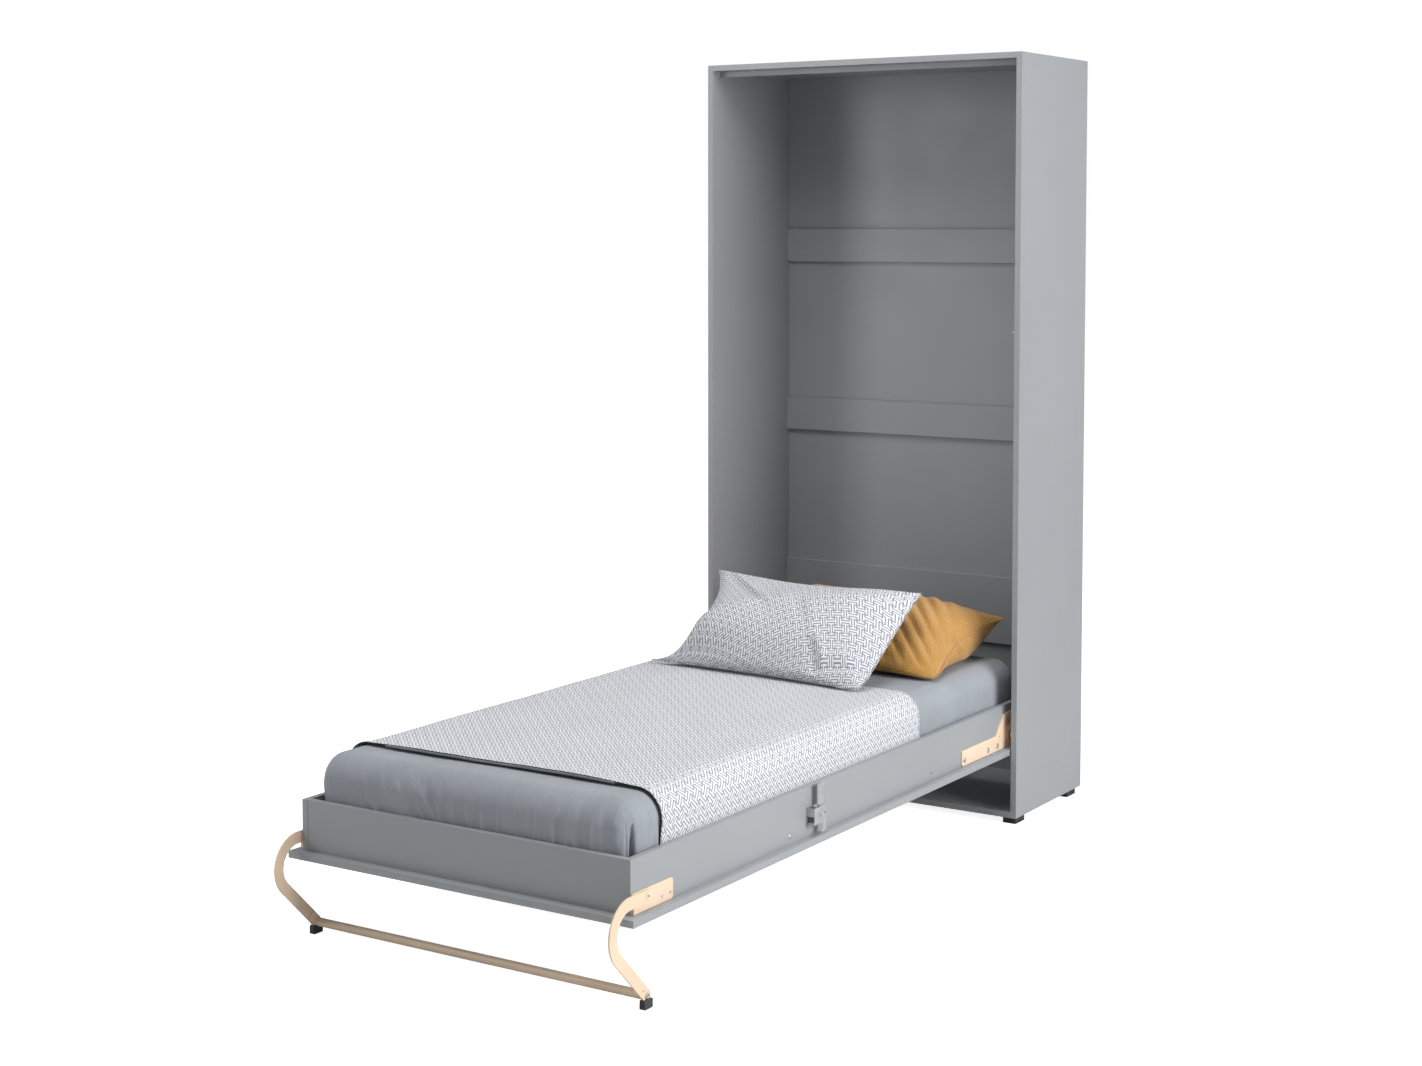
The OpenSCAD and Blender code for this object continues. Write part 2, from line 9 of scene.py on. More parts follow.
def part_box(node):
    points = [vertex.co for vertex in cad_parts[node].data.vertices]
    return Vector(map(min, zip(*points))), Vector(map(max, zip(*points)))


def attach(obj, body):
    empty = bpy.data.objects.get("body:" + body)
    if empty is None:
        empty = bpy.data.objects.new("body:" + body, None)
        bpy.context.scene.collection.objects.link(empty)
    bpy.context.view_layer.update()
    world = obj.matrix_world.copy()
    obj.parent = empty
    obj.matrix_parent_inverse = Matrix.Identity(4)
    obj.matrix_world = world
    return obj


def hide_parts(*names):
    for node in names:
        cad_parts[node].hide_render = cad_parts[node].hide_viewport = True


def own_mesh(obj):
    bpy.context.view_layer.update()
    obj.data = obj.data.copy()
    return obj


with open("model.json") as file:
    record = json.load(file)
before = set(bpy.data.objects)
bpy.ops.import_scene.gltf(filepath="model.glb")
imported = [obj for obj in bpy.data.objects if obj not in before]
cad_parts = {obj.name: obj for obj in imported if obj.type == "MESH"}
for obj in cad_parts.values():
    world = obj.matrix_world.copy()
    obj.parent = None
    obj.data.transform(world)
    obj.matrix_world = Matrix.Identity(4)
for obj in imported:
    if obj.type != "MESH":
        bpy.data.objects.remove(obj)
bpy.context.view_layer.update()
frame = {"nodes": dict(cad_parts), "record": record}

NODES = frame["nodes"]
SCENE = bpy.context.scene


# ---------------------------------------------------------------- materials

# the woven pattern in units of its grid: cell, length of an arm, half a line and its soft edge
KEY_CELL, KEY_ARM, KEY_HALF, KEY_BLUR = 6.0, 2.0, 0.59, 0.16


class Graph:
    """A material's node tree with short names for the nodes that this scene uses."""

    def __init__(self, name, **values):
        self.material = bpy.data.materials.new(name)
        self.material.use_nodes = True
        self.tree = self.material.node_tree
        self.bsdf = self.tree.nodes["Principled BSDF"]
        for socket, value in values.items():
            self.bsdf.inputs[socket.replace("_", " ")].default_value = value

    def put(self, socket, value):
        if isinstance(value, bpy.types.NodeSocket):
            self.tree.links.new(value, socket)
        else:
            socket.default_value = value

    def add(self, kind, inputs, **props):
        node = self.tree.nodes.new(kind)
        for key, value in props.items():
            setattr(node, key, value)
        for key, value in inputs.items():
            self.put(node.inputs[key], value)
        return node

    def coords(self):
        return self.add("ShaderNodeTexCoord", {}).outputs["Object"]

    def uv(self, layer):
        return self.add("ShaderNodeUVMap", {}, uv_map=layer).outputs["UV"]

    def math(self, operation, a, b=0.0, c=0.0):
        node = self.add("ShaderNodeMath", {0: a, 1: b, 2: c}, operation=operation)
        return node.outputs[0]

    def noise(self, vector, scale, detail=2.0, rough=0.5):
        inputs = {"Vector": vector, "Scale": scale, "Detail": detail, "Roughness": rough}
        return self.add("ShaderNodeTexNoise", inputs).outputs["Fac"]

    def remap(self, value, low, high, to_low, to_high, smooth=False):
        node = self.add("ShaderNodeMapRange", {0: value, 1: low, 2: high, 3: to_low, 4: to_high})
        node.interpolation_type = "SMOOTHSTEP" if smooth else "LINEAR"
        return node.outputs[0]

    def mix(self, fac, a, b):
        return self.add("ShaderNodeMix", {0: fac, 6: a, 7: b}, data_type="RGBA").outputs[2]

    def choose(self, fac, a, b):
        return self.add("ShaderNodeMix", {0: fac, 2: a, 3: b}, data_type="FLOAT").outputs[0]

    def split(self, vector):
        node = self.add("ShaderNodeSeparateXYZ", {0: vector})
        return node.outputs[0], node.outputs[1], node.outputs[2]

    def turned(self, vector, degrees, scale):
        inputs = {"Vector": vector, "Rotation": (0, 0, -math.radians(degrees)), "Scale": (scale,) * 3}
        return self.add("ShaderNodeMapping", inputs).outputs[0]

    def colour(self, value):
        self.put(self.bsdf.inputs["Base Color"], value)

    def roughness(self, value):
        self.put(self.bsdf.inputs["Roughness"], value)

    def bump(self, *layers):
        """Each layer is a height, its depth in metres and its strength."""
        normal = None
        for height, depth, strength in layers:
            inputs = {"Height": height, "Distance": depth, "Strength": strength}
            if normal:
                inputs["Normal"] = normal
            normal = self.add("ShaderNodeBump", inputs).outputs[0]
        self.put(self.bsdf.inputs["Normal"], normal)


def rgb(text):
    """A linear colour from a screen colour written as six hexadecimal digits."""
    parts = [int(text[i:i + 2], 16) / 255 for i in (0, 2, 4)]
    return tuple(((c + 0.055) / 1.055) ** 2.4 if c > 0.04045 else c / 12.92 for c in parts) + (1.0,)


def speckled(name, dark, light, patch, grain, depth, rough, strength, **values):
    """A hard surface: soft patches of two close tones, a fine grain in the surface and uneven gloss."""
    g = Graph(name, **values)
    at = g.coords()
    g.colour(g.mix(g.remap(g.noise(at, patch, 4), 0.3, 0.7, 0, 1), rgb(dark), rgb(light)))
    g.roughness(g.remap(g.noise(at, patch * 3.1, 3), 0.3, 0.7, *rough))
    g.bump((g.noise(at, grain, 2), depth, strength))
    return g.material


def weave_height(g, uv, pitch):
    """Threads that cross over and under each other."""
    u, v, _ = g.split(uv)
    k = math.pi / pitch
    a, b = g.math("MULTIPLY", u, k), g.math("MULTIPLY", v, k)
    warp = g.math("ABSOLUTE", g.math("SINE", a))
    weft = g.math("ABSOLUTE", g.math("SINE", b))
    over = g.math("SIGN", g.math("MULTIPLY", g.math("SINE", a), g.math("SINE", b)))
    pick = g.math("MULTIPLY_ADD", over, 0.5, 0.5)
    return g.choose(pick, warp, weft)


def key_pattern(g, uv, degrees, unit):
    """How much a point lies in the pale thread: bars with crossed ends, upright and lying in turn."""
    x, y, _ = g.split(g.turned(uv, degrees, 1 / unit))
    i = g.math("ROUND", g.math("DIVIDE", x, KEY_CELL))
    j = g.math("ROUND", g.math("DIVIDE", y, KEY_CELL))
    ax = g.math("ABSOLUTE", g.math("SUBTRACT", x, g.math("MULTIPLY", i, KEY_CELL)))
    ay = g.math("ABSOLUTE", g.math("SUBTRACT", y, g.math("MULTIPLY", j, KEY_CELL)))
    odd = g.math("GREATER_THAN", g.math("FLOORED_MODULO", g.math("ADD", i, j), 2.0), 0.5)
    a, b = g.choose(odd, ax, ay), g.choose(odd, ay, ax)
    beyond = g.math("SUBTRACT", a, KEY_ARM)
    end = g.math("MAXIMUM", g.math("ABSOLUTE", g.math("SUBTRACT", b, KEY_ARM)), beyond)
    stem = g.math("MAXIMUM", a, g.math("SUBTRACT", KEY_ARM, b))
    near = g.math("MINIMUM", b, g.math("MINIMUM", end, stem))
    return g.remap(near, KEY_HALF - KEY_BLUR, KEY_HALF + KEY_BLUR, 1.0, 0.0, smooth=True)


def cloth(name, dark, light, pitch, pattern=None, sheen=0.25, relief=0.45, creases=0.0):
    """A woven cloth, its colour darkened between its threads as painted shading; a pattern is (degrees,
    unit, ground colour), with its pale thread raised.
    """
    g = Graph(name, Roughness=0.85, Sheen_Weight=sheen, Sheen_Roughness=0.45, Specular_IOR_Level=0.25)
    uv = g.uv("cloth")
    at = g.coords()
    threads = weave_height(g, uv, pitch)
    tone = g.mix(g.remap(g.noise(at, 5, 4, 0.6), 0.3, 0.7, 0, 1), rgb(dark), rgb(light))
    layers = [(threads, pitch * 0.4, relief), (g.noise(at, 260, 3), 0.0006, 0.3)]
    if pattern:
        degrees, unit, ground = pattern
        pale = key_pattern(g, uv, degrees, unit)
        tone = g.mix(pale, rgb(ground), tone)
        layers.insert(0, (pale, 0.0009, 0.7))
    if creases:
        drawn = g.add("ShaderNodeMapping", {"Vector": uv, "Scale": (26, 5, 1)}).outputs[0]
        streak = g.noise(drawn, 1.0, 3, 0.6)
        line = g.remap(g.math("ABSOLUTE", g.math("SUBTRACT", streak, 0.5)), 0, 0.07, 1, 0, smooth=True)
        layers.append((line, 0.0022, creases))
    # slub is the yarn's own uneven tone; the thread term is painted shading: the colour is darkened where
    # the threads dip and lightened a little on their crowns
    slub = g.remap(g.noise(uv, 420, 2), 0.35, 0.65, 0.93, 1.04)
    slub_and_thread_shading = g.math("MULTIPLY", slub, g.remap(threads, 0, 1, 0.90, 1.04))
    tone_with_thread_shading = g.add("ShaderNodeHueSaturation", {"Color": tone, "Value": slub_and_thread_shading}).outputs[0]
    g.colour(tone_with_thread_shading)
    g.bump(*layers)
    return g.material


def wood(name):
    """Plain pale wood with grain along X, which is how the slats lie."""
    g = Graph(name, Specular_IOR_Level=0.35)
    at = g.coords()
    stretched = g.add("ShaderNodeMapping", {"Vector": at, "Scale": (1.5, 38, 38)}).outputs[0]
    grain = g.noise(stretched, 3.0, 6, 0.62)
    g.colour(g.mix(g.remap(grain, 0.35, 0.65, 0, 1), rgb("CFAE7C"), rgb("E2C79B")))
    g.roughness(g.remap(grain, 0.3, 0.7, 0.62, 0.5))
    g.bump((grain, 0.0006, 0.35))
    return g.material


def make_materials():
    return {
        "board_grey": speckled("board", "8E9194", "929598", 2.2, 900, 0.0004, (0.34, 0.42), 0.18,
                               Specular_IOR_Level=0.45),
        "pale_wood": wood("slat_wood"),
        "cream_metal": speckled("powder_coat", "DAC1A6", "E1C9B0", 9, 1500, 0.0003, (0.38, 0.5), 0.22,
                                Coat_Weight=0.15, Coat_Roughness=0.3),
        "zinc": speckled("zinc", "AEB2B2", "C9CBC9", 60, 1200, 0.0002, (0.28, 0.42), 0.25, Metallic=0.85),
        "rod_steel": speckled("rod_steel", "C4C7CA", "D4D6D8", 30, 900, 0.00005, (0.12, 0.2), 0.2,
                              Metallic=1.0),
        "cylinder_black": speckled("cylinder_paint", "141516", "1B1C1E", 20, 900, 0.0002, (0.3, 0.42), 0.2),
        "black_plastic": speckled("moulded_plastic", "17181A", "1F2022", 30, 700, 0.0004, (0.45, 0.6), 0.4),
        "cap_rubber": speckled("cap_rubber", "2E3032", "393B3D", 40, 800, 0.0005, (0.6, 0.75), 0.5),
        "sheet": cloth("sheet_cotton", "8D9299", "969BA2", 0.0011, sheen=0.2, creases=0.32),
        "coverlet_weave": cloth("coverlet_weave", "D8D9DE", "E0E1E5", 0.0010,
                                pattern=(45, 0.0041, "8D9097")),
        "pillow_weave": cloth("pillow_weave", "D6D7DC", "DEDFE4", 0.0010,
                              pattern=(0, 0.0047, "84878E")),
        "pillow_cotton": cloth("pillow_cotton", "BC883C", "D09C4C", 0.0052,
                               sheen=0.3, relief=1.0, creases=0.4),
        "dark_cord": cloth("dark_cord", "1E2023", "2B2D31", 0.0009, sheen=0.1),
        "grey_cord": cloth("grey_cord", "73777D", "868A90", 0.0009, sheen=0.2),
    }


MATERIALS = make_materials()


def dress_cad_nodes():
    """The CAD nodes keep their shape; they get a finished material and a small round on their edges."""
    slots = {s["node"]: s["material_slot"] for s in frame["record"]["subparts"]}
    rounds = {"board_grey": 0.0009, "pale_wood": 0.0015, "cream_metal": 0.0007, "zinc": 0.0003,
              "cylinder_black": 0.0004, "rod_steel": 0.0002, "black_plastic": 0.0008, "cap_rubber": 0.0015}
    for name, node in NODES.items():
        slot = slots[name]
        if slot not in rounds:
            continue
        for s in node.material_slots:
            s.material = MATERIALS[slot]
        weld = node.modifiers.new("weld", "WELD")
        weld.merge_threshold = 0.00002
        plain = node.modifiers.new("plain_faces", "DECIMATE")
        plain.decimate_type = "DISSOLVE"
        plain.angle_limit = math.radians(0.5)
        bevel = node.modifiers.new("round", "BEVEL")
        bevel.width = rounds[slot]
        bevel.segments = 2
        bevel.limit_method = "ANGLE"
        bevel.angle_limit = math.radians(40)
        bevel.use_clamp_overlap = True


# ------------------------------------------------------------- mesh helpers

def make_object(name, verts, faces, slot, uvs=None):
    """A mesh object with its material; uvs holds one pair per vertex, in metres of cloth."""
    mesh = bpy.data.meshes.new(name)
    mesh.from_pydata([tuple(map(float, v)) for v in verts], [], faces)
    if uvs is not None:
        layer = mesh.uv_layers.new(name="cloth")
        index = np.empty(len(mesh.loops), int)
        mesh.loops.foreach_get("vertex_index", index)
        layer.data.foreach_set("uv", np.asarray(uvs, np.float32)[index].ravel())
    obj = bpy.data.objects.new(name, mesh)
    SCENE.collection.objects.link(obj)
    mesh.materials.append(MATERIALS[slot])
    mesh.polygons.foreach_set("use_smooth", [True] * len(mesh.polygons))
    mesh.update()
    return obj


def grid_faces(rows, cols, first=0, flip=False, wrap=False):
    """Quads over rows x cols vertices that are numbered row by row."""
    faces = []
    for i in range(rows - 1):
        for j in range(cols if wrap else cols - 1):
            k = (j + 1) % cols
            low, high = first + i * cols, first + (i + 1) * cols
            quad = (low + j, low + k, high + k, high + j)
            faces.append(quad[::-1] if flip else quad)
    return faces


def grid_border(rows, cols):
    """The vertices round the edge of such a grid, in order."""
    first_row = list(range(cols))
    last_col = [i * cols + cols - 1 for i in range(1, rows)]
    last_row = [(rows - 1) * cols + j for j in range(cols - 2, -1, -1)]
    first_col = [i * cols for i in range(rows - 2, 0, -1)]
    return first_row + last_col + last_row + first_col


CORD_TWIST = 0.012
CORD_SIDES = 8


def rope(points, radius, strands=None, closed=False):
    """Vertices, faces and cloth coordinates of a cord along a line of points.

    strands lists where round the cord each twisted strand starts, in parts of a turn;
    None is one plain cord.
    """
    points = np.asarray(points, float)
    ahead = np.roll(points, -1, 0) - np.roll(points, 1, 0)
    if not closed:
        ahead[0], ahead[-1] = points[1] - points[0], points[-1] - points[-2]
    ahead /= np.linalg.norm(ahead, axis=1)[:, None]
    side = np.cross(ahead, (0.0, 0.0, 1.0))
    weak = np.linalg.norm(side, axis=1) < 0.2
    side[weak] = np.cross(ahead[weak], (0.0, 1.0, 0.0))
    side /= np.linalg.norm(side, axis=1)[:, None]
    for i in range(1, len(side)):
        if side[i] @ side[i - 1] < 0:
            side[i] *= -1
    other = np.cross(side, ahead)
    length = np.concatenate([[0], np.cumsum(np.linalg.norm(np.diff(points, axis=0), axis=1))])
    verts, faces, uvs = [], [], []
    for start in strands or [0.0]:
        first = len(verts)
        turn = 2 * math.pi * (length / CORD_TWIST + start)
        reach = radius * 0.45 if strands else 0.0
        thick = radius * (0.6 if strands else 1.0)
        for i, p in enumerate(points):
            middle = p + reach * (math.cos(turn[i]) * side[i] + math.sin(turn[i]) * other[i])
            for k in range(CORD_SIDES):
                a = 2 * math.pi * k / CORD_SIDES
                verts.append(middle + thick * (math.cos(a) * side[i] + math.sin(a) * other[i]))
                uvs.append((length[i], thick * a))
        faces += grid_faces(len(points), CORD_SIDES, first, wrap=True)
        last = first + (len(points) - 1) * CORD_SIDES
        if closed:
            for k in range(CORD_SIDES):
                after = (k + 1) % CORD_SIDES
                faces.append((last + k, last + after, first + after, first + k))
        else:
            faces.append(tuple(first + k for k in reversed(range(CORD_SIDES))))
            faces.append(tuple(last + k for k in range(CORD_SIDES)))
    return verts, faces, uvs


def resampled(points, step, closed=False):
    """Points an equal step apart along a line."""
    points = np.asarray(points, float)
    if closed:
        points = np.vstack([points, points[:1]])
    gaps = np.linalg.norm(np.diff(points, axis=0), axis=1)
    along = np.concatenate([[0], np.cumsum(gaps)])
    count = max(int(along[-1] / step), 4)
    want = np.linspace(0, along[-1], count + 1)
    if closed:
        want = want[:-1]
    return np.stack([np.interp(want, along, points[:, k]) for k in range(3)], 1)


def wobble(x, y, scale, seed):
    """Smooth noise between about -1 and 1."""
    return noise.noise(Vector((x * scale + seed, y * scale - seed, seed * 1.7)))


# ----------------------------------------------------------------- mattress

LO, HI = (np.array(c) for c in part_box("mattress"))
TOP = float(HI[2])
EDGE_R = 0.060
PLAN_R = 0.058
STEP_X, STEP_Y, STEP_Z, STEP_FINE = 0.0038, 0.011, 0.0042, 0.0035
SHEET_INSET = 0.0012
END_WRINKLE, SIDE_WRINKLE, SOFT_WRINKLE = 0.0056, 0.0026, 0.0022
WRINKLES_BELOW, WRINKLES_OVER = 0.010, 0.045
FAN_AT, FAN_WIDTH, FAN_LEAN = -0.13, 0.16, 0.55
SLOT_TURN = 28
SLOT_TOP, SLOT_FADE, SLOT_WIDTH, SLOT_DEPTH = 0.405, 0.06, 0.0052, 0.016
RAIL_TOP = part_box("bed_rail_left")[1][2]


def spaced_lines(low, high, coarse, fine_at, fine):
    """Grid lines from low to high: fine near the places in fine_at, coarse elsewhere."""
    lines, at = [low], low
    while at < high - 1e-6:
        step = fine if any(abs(at - a) < w for a, w in fine_at) else coarse
        at = min(at + step, high)
        lines.append(at)
    return np.array(lines)


def rounded(p, lo, hi, plan_r, edge_r):
    """A point of a box pushed in to round the box's upright corners in plan and its long edges."""
    q = np.array(p, float)
    inner = np.clip(q[:2], lo[:2] + plan_r, hi[:2] - plan_r)
    off = q[:2] - inner
    size = np.abs(off).max()
    if size > 0:
        q[:2] = inner + off / np.linalg.norm(off) * size
    centre = (lo + hi) / 2
    level = np.clip(q[2], lo[2] + edge_r, hi[2] - edge_r)
    up = q[2] - level
    plan = np.maximum(np.maximum(lo[:2] + edge_r - q[:2], q[:2] - hi[:2] + edge_r), 0)
    corner = np.clip(q[:2], lo[:2] + plan_r, hi[:2] - plan_r)
    away = q[:2] - corner
    if abs(away[0]) > 1e-9 and abs(away[1]) > 1e-9:
        reach = np.linalg.norm(away)
        out = away / reach
        into = max(reach - (plan_r - edge_r), 0)
    elif plan[0] >= plan[1]:
        out, into = np.array([np.sign(q[0] - centre[0]), 0.0]), plan[0]
    else:
        out, into = np.array([0.0, np.sign(q[1] - centre[1])]), plan[1]
    if into > 0 and abs(up) > 0:
        size = max(into, abs(up))
        reach = math.hypot(into, up)
        q[:2] += out * (into / reach * size - into)
        q[2] = level + up / reach * size
    return q


def ridged(along, down, fine, long, seed):
    """Thin sharp wrinkles: 1 on the crest of a wrinkle and 0 between wrinkles."""
    return max(0.0, 1 - 5.5 * abs(noise.noise(Vector((along * fine + seed, down * long, seed)))))


def sheet_wrinkles(p, normal):
    """How far the fitted sheet stands off the foam at a point."""
    x, y, z = p
    side = 1 - abs(normal[2])
    along = x if abs(normal[1]) > abs(normal[0]) else y
    drop = np.clip((TOP - WRINKLES_BELOW - z) / WRINKLES_OVER, 0, 1)
    fan = FAN_LEAN * math.exp(-((along - FAN_AT) / FAN_WIDTH) ** 2)
    lean = along + (z - TOP) * (0.25 * wobble(along, 0, 4, 5.0) + fan)
    where = np.clip(0.6 + 1.1 * wobble(along, z * 0.6, 6, 3.0), 0.2, 1)
    wrinkle = ridged(lean, z, 19, 2.6, 2.0) + 0.6 * ridged(lean, z, 36, 4.0, 7.0)
    depth = END_WRINKLE if abs(normal[1]) > abs(normal[0]) else SIDE_WRINKLE
    folds = drop * where * (depth * wrinkle + SOFT_WRINKLE * wobble(lean * 3.4, z * 0.8, 9, 6.0))
    soft = SOFT_WRINKLE * wobble(x, y, 4.0, 9.0) * (1 - side) + 0.0007 * wobble(x, y, 17.0, 4.0)
    return folds + soft - tuck(p)


def tuck(p):
    """Depth of the slot where the sheet is folded over at the two foot corners; it opens downwards."""
    turn = math.radians(SLOT_TURN)
    x, y = abs(p[0]) - HI[0] + PLAN_R, LO[1] + PLAN_R - p[1]
    across = x * math.sin(turn) - y * math.cos(turn)
    if x * math.cos(turn) + y * math.sin(turn) < 0.4 * PLAN_R:
        return 0.0
    open_to = SLOT_WIDTH * np.clip((SLOT_TOP - p[2]) / SLOT_FADE, 0, 1) ** 0.7
    if open_to <= 0:
        return 0.0
    return SLOT_DEPTH * math.exp(-(across / (open_to + 0.0008)) ** 4)


def make_mattress():
    """The foam mattress in its fitted sheet: a crowned, round-edged block, gathered at the foot."""
    foot, head = LO[1], HI[1]
    xs = spaced_lines(LO[0], HI[0], STEP_X, [], STEP_X)
    ys = spaced_lines(foot, head, STEP_Y, [(foot + 0.02, 0.04), (foot + 0.1, 0.1), (head, 0.08)], STEP_FINE)
    zs = spaced_lines(LO[2], HI[2], STEP_Z, [], STEP_Z)
    verts, faces, index = [], [], {}

    def vertex(x, y, z):
        key = (round(x, 5), round(y, 5), round(z, 5))
        if key not in index:
            index[key] = len(verts)
            verts.append((x, y, z))
        return index[key]

    def face_grid(a, b, place, flip):
        for i in range(len(a) - 1):
            for j in range(len(b) - 1):
                quad = [vertex(*place(a[i + m], b[j + n])) for m, n in ((0, 0), (1, 0), (1, 1), (0, 1))]
                faces.append(tuple(quad[::-1] if flip else quad))

    face_grid(xs, ys, lambda a, b: (a, b, HI[2]), False)
    face_grid(xs, ys, lambda a, b: (a, b, LO[2]), True)
    face_grid(xs, zs, lambda a, b: (a, LO[1], b), False)
    face_grid(xs, zs, lambda a, b: (a, HI[1], b), True)
    face_grid(ys, zs, lambda a, b: (LO[0], a, b), True)
    face_grid(ys, zs, lambda a, b: (HI[0], a, b), False)
    shaped = np.array([rounded(v, LO, HI, PLAN_R, EDGE_R) for v in verts])
    obj = make_object("mattress_in_sheet", shaped, faces, "sheet")
    normals = np.array([v.normal for v in obj.data.vertices])
    amount = np.array([sheet_wrinkles(p, n) for p, n in zip(shaped, normals)])
    moved = shaped + normals * (amount - SHEET_INSET)[:, None]
    obj.data.vertices.foreach_set("co", moved.astype(np.float32).ravel())
    box_uv(obj, shaped)
    obj.data.update()
    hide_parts("mattress")
    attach(obj, "bed")


def box_uv(obj, points):
    """Cloth coordinates in metres that run down over the sides from the top."""
    mesh = obj.data
    layer = mesh.uv_layers.new(name="cloth")
    index = np.empty(len(mesh.loops), int)
    mesh.loops.foreach_get("vertex_index", index)
    flat = np.empty((len(mesh.loops), 2), np.float32)
    for poly in mesh.polygons:
        n = np.abs(np.array(poly.normal))
        axes = (0, 1) if n[2] >= max(n[0], n[1]) else ((0, 2) if n[1] > n[0] else (1, 2))
        for k in poly.loop_indices:
            flat[k] = points[index[k]][list(axes)]
    layer.data.foreach_set("uv", flat.ravel())


# ----------------------------------------------------------------- coverlet

COVER_LO, COVER_HI = (np.array(c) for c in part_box("coverlet"))
HANG = 0.158
HEAD_SKEW = 0.036
COVER_ROWS = 86
COVER_STEP, COVER_STEP_BEND = 0.018, 0.008
COVER_LIFT = 0.0016
COVER_OUT, COVER_IN = 0.0014, 0.0006
CORD_BACK = -0.0008


def section(s, lift):
    """A point of the mattress outline across the bed; s runs from the middle over the edge and down."""
    half = HI[0] + lift
    r = EDGE_R + lift
    flat = half - r
    a = abs(s)
    if a <= flat:
        x, z = a, TOP + lift
        nx, nz = 0.0, 1.0
    elif a <= flat + r * math.pi / 2:
        t = (a - flat) / r
        x, z = flat + r * math.sin(t), TOP + lift - r * (1 - math.cos(t))
        nx, nz = math.sin(t), math.cos(t)
    else:
        x, z = half, TOP + lift - r - (a - flat - r * math.pi / 2)
        nx, nz = 1.0, 0.0
    sign = 1 if s >= 0 else -1
    return np.array([sign * x, z]), np.array([sign * nx, nz])


def cover_reach():
    """The cloth from the middle of the bed to its side hem."""
    flat = HI[0] - EDGE_R
    return flat + EDGE_R * math.pi / 2 + HANG - EDGE_R


def head_edge(s):
    """The coverlet's head edge lies a little askew and waves slightly."""
    return COVER_HI[1] - HEAD_SKEW * s + 0.006 * math.sin(s * 9 + 1.0)


def cover_point(s, t, lift=COVER_LIFT):
    """A point on the coverlet, t from 0 at the foot edge to 1 at the head edge, and its normal."""
    foot = COVER_LO[1] + 0.003 * math.sin(s * 7)
    y = foot + (head_edge(s) - foot) * t
    p, n = section(s, lift)
    drop = np.clip((TOP - p[1]) / HANG, 0, 1)
    ripple = 0.0016 * wobble(s, y, 5.0, 1.0) + 0.0009 * wobble(s, y, 14.0, 7.0)
    ripple += 0.0012 * drop * wobble(0, y, 11.0, 3.0)
    clear = np.clip((p[1] - RAIL_TOP - 0.01) / 0.04, 0, 1)
    turned_up = 0.0045 * clear * math.exp(-(y - foot) / 0.03)
    off = COVER_LIFT + ripple * (1 - 0.5 * drop) + turned_up
    return np.array([p[0] + n[0] * off, y, p[1] + n[1] * off]), np.array([n[0], 0.0, n[1]])


def make_coverlet():
    """A thin coverlet laid over the middle of the bed, its long sides tucked down inside the rails."""
    reach = cover_reach()
    edge = HI[0] - EDGE_R
    bends = [(-edge - 0.047, 0.055), (edge + 0.047, 0.055)]
    ss = spaced_lines(-reach, reach, COVER_STEP, bends, COVER_STEP_BEND)
    ts = np.linspace(0, 1, COVER_ROWS)
    outer, inner, uvs = [], [], []
    for t in ts:
        for s in ss:
            p, n = cover_point(s, t)
            outer.append(p + n * COVER_OUT)
            inner.append(p - n * COVER_IN)
            uvs.append((s, p[1]))
    rows, cols = len(ts), len(ss)
    count = rows * cols
    faces = grid_faces(rows, cols) + grid_faces(rows, cols, count, flip=True)
    border = grid_border(rows, cols)
    for a, b in zip(border, border[1:] + border[:1]):
        faces.append((a, a + count, b + count, b))
    obj = make_object("coverlet_cloth", outer + inner, faces, "coverlet_weave", uvs + uvs)
    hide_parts("coverlet")
    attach(obj, "bed")

    def edge_line(t, lift, back, end):
        line = []
        for s in np.arange(-end, end, 0.004):
            p, n = cover_point(s, t, 0.0)
            full = 1 - 0.8 * min(1, abs(s) / edge) ** 5
            line.append(p + n * lift * full + np.array([0, CORD_BACK + (back - CORD_BACK) * full, 0]))
        return resampled(line, 0.0018)

    hem = reach - 0.002
    for name, slot, line, radius, strands in (
            ("foot_edge_over", "dark_cord", edge_line(0.0, 0.0050, -0.0008, hem), 0.0013, None),
            ("foot_twist", "grey_cord", edge_line(0.0, 0.0011, -0.0028, edge - 0.06), 0.0032, [0.0, 0.5]),
            ("foot_edge_under", "dark_cord", edge_line(0.0, -0.0026, -0.0034, hem), 0.0010, None),
            ("head_cord", "dark_cord", edge_line(1.0, 0.0, 0.0018, hem), 0.0012, None)):
        verts, faces, uvs = rope(line, radius, strands)
        cord = make_object(f"coverlet_{name}", verts, faces, slot, uvs)
        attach(cord, "bed")


# ------------------------------------------------------------------ pillows

COLS, ROWS = 84, 56
FRAMES = 22
PRESSURE = 2.5
BLUNT, BLUNT_OVER = 0.016, 0.03
CLEAR_UPPER, CLEAR_LOWER = 0.014, 0.006
FOLDS_ACROSS, OCHRE_DEEP, PATTERNED_DEEP = 0.70, 0.46, 0.45


def pillow_grid(cols, rows):
    """Two panels sewn together round their edge: (u, v) and side per vertex, faces, seam vertices."""
    us, vs = np.linspace(0, 1, cols), np.linspace(0, 1, rows)
    uv = [(u, v) for v in vs for u in us]
    front = grid_faces(rows, cols)
    seam = grid_border(rows, cols)
    border = set(seam)
    back_of, sides = {}, [1.0] * len(uv)
    for k in range(rows * cols):
        if k in border:
            back_of[k] = k
            sides[k] = 0.0
        else:
            back_of[k] = len(uv)
            uv.append(uv[k])
            sides.append(-1.0)
    faces = front + [tuple(back_of[k] for k in reversed(f)) for f in front]
    return np.array(uv), faces, np.array(sides), seam


